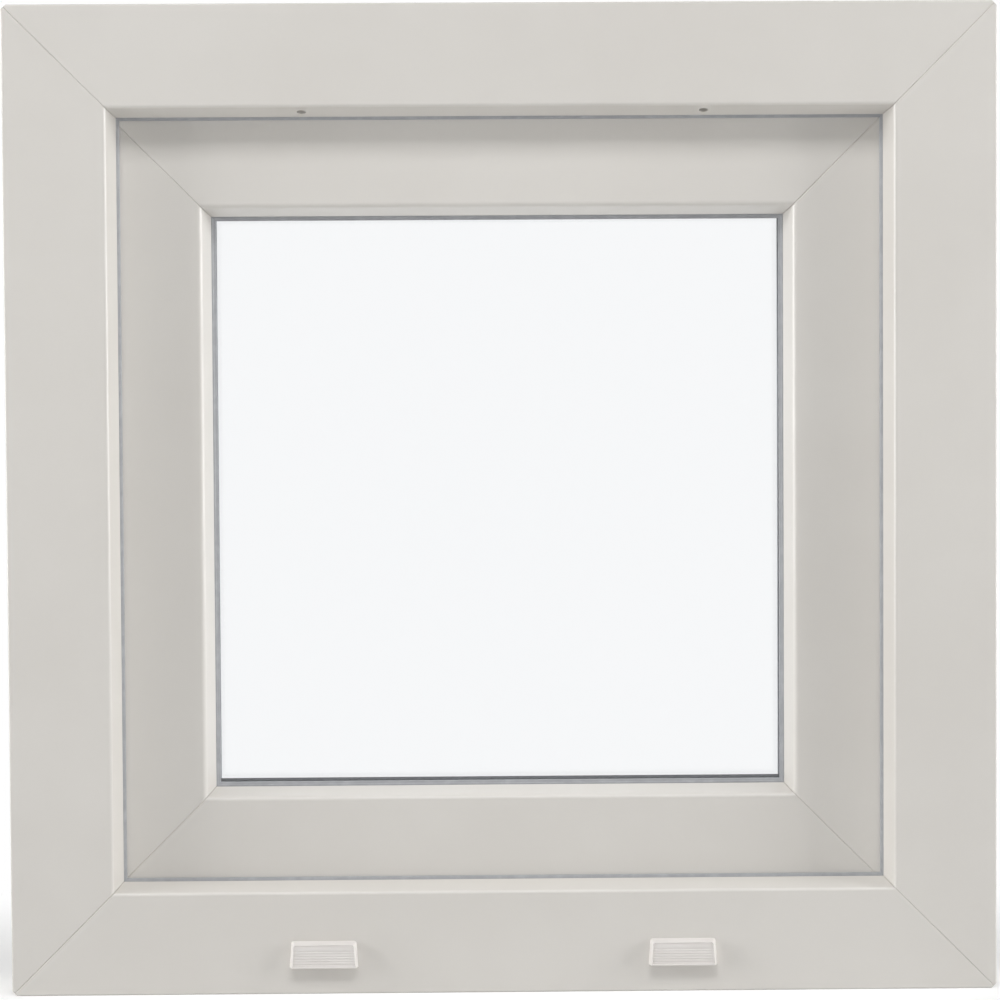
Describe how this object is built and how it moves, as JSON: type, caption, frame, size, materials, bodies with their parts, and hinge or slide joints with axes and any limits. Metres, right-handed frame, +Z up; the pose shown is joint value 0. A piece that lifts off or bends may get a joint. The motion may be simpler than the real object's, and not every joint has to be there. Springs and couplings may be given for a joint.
{
  "type": "tilt and turn window",
  "caption": "Square white plastic tilt and turn window, shut, with a mitred frame and sash, clear double glazing, grey seals, drain caps and a room side handle.",
  "frame": {"origin": "middle of the sill's underside, at half the frame's depth", "axes": "+Z up, -Y outside, +Y to the room, +X to the right seen from outside"},
  "size_m": [0.6, 0.1475, 0.6],
  "materials": {
    "white_upvc": "satin white uPVC",
    "grey_seal": "light grey soft seal",
    "clear_glass": "clear float glass",
    "spacer": "dark warm edge spacer",
    "edge_sealant": "black sealant",
    "white_cap": "fine ribbed white plastic",
    "white_metal": "white powder coat",
    "zinc_steel": "bright zinc plate"
  },
  "bodies": {
    "root": {"frame_head": "white_upvc", "frame_sill": "white_upvc", "frame_jamb_left": "white_upvc", "frame_jamb_right": "white_upvc", "sash_top_rail": "white_upvc", "sash_bottom_rail": "white_upvc", "sash_stile_left": "white_upvc", "sash_stile_right": "white_upvc", "bead_top": "white_upvc", "bead_bottom": "white_upvc", "bead_left": "white_upvc", "bead_right": "white_upvc", "frame_gasket": "grey_seal", "sash_gasket": "grey_seal", "glass_gasket": "grey_seal", "bead_gasket": "grey_seal", "outer_pane": "clear_glass", "inner_pane": "clear_glass", "spacer_bar": "spacer", "edge_seal": "edge_sealant", "drain_cap_left": "white_cap", "drain_cap_right": "white_cap", "handle_rosette": "white_metal", "handle_lever": "white_metal", "corner_bearing": "zinc_steel", "corner_band": "zinc_steel", "corner_pin": "zinc_steel", "corner_cap": "white_cap", "stay_bearing": "zinc_steel", "stay_band": "zinc_steel", "stay_pin": "zinc_steel", "stay_cap": "white_cap"}
  },
  "joints": []
}
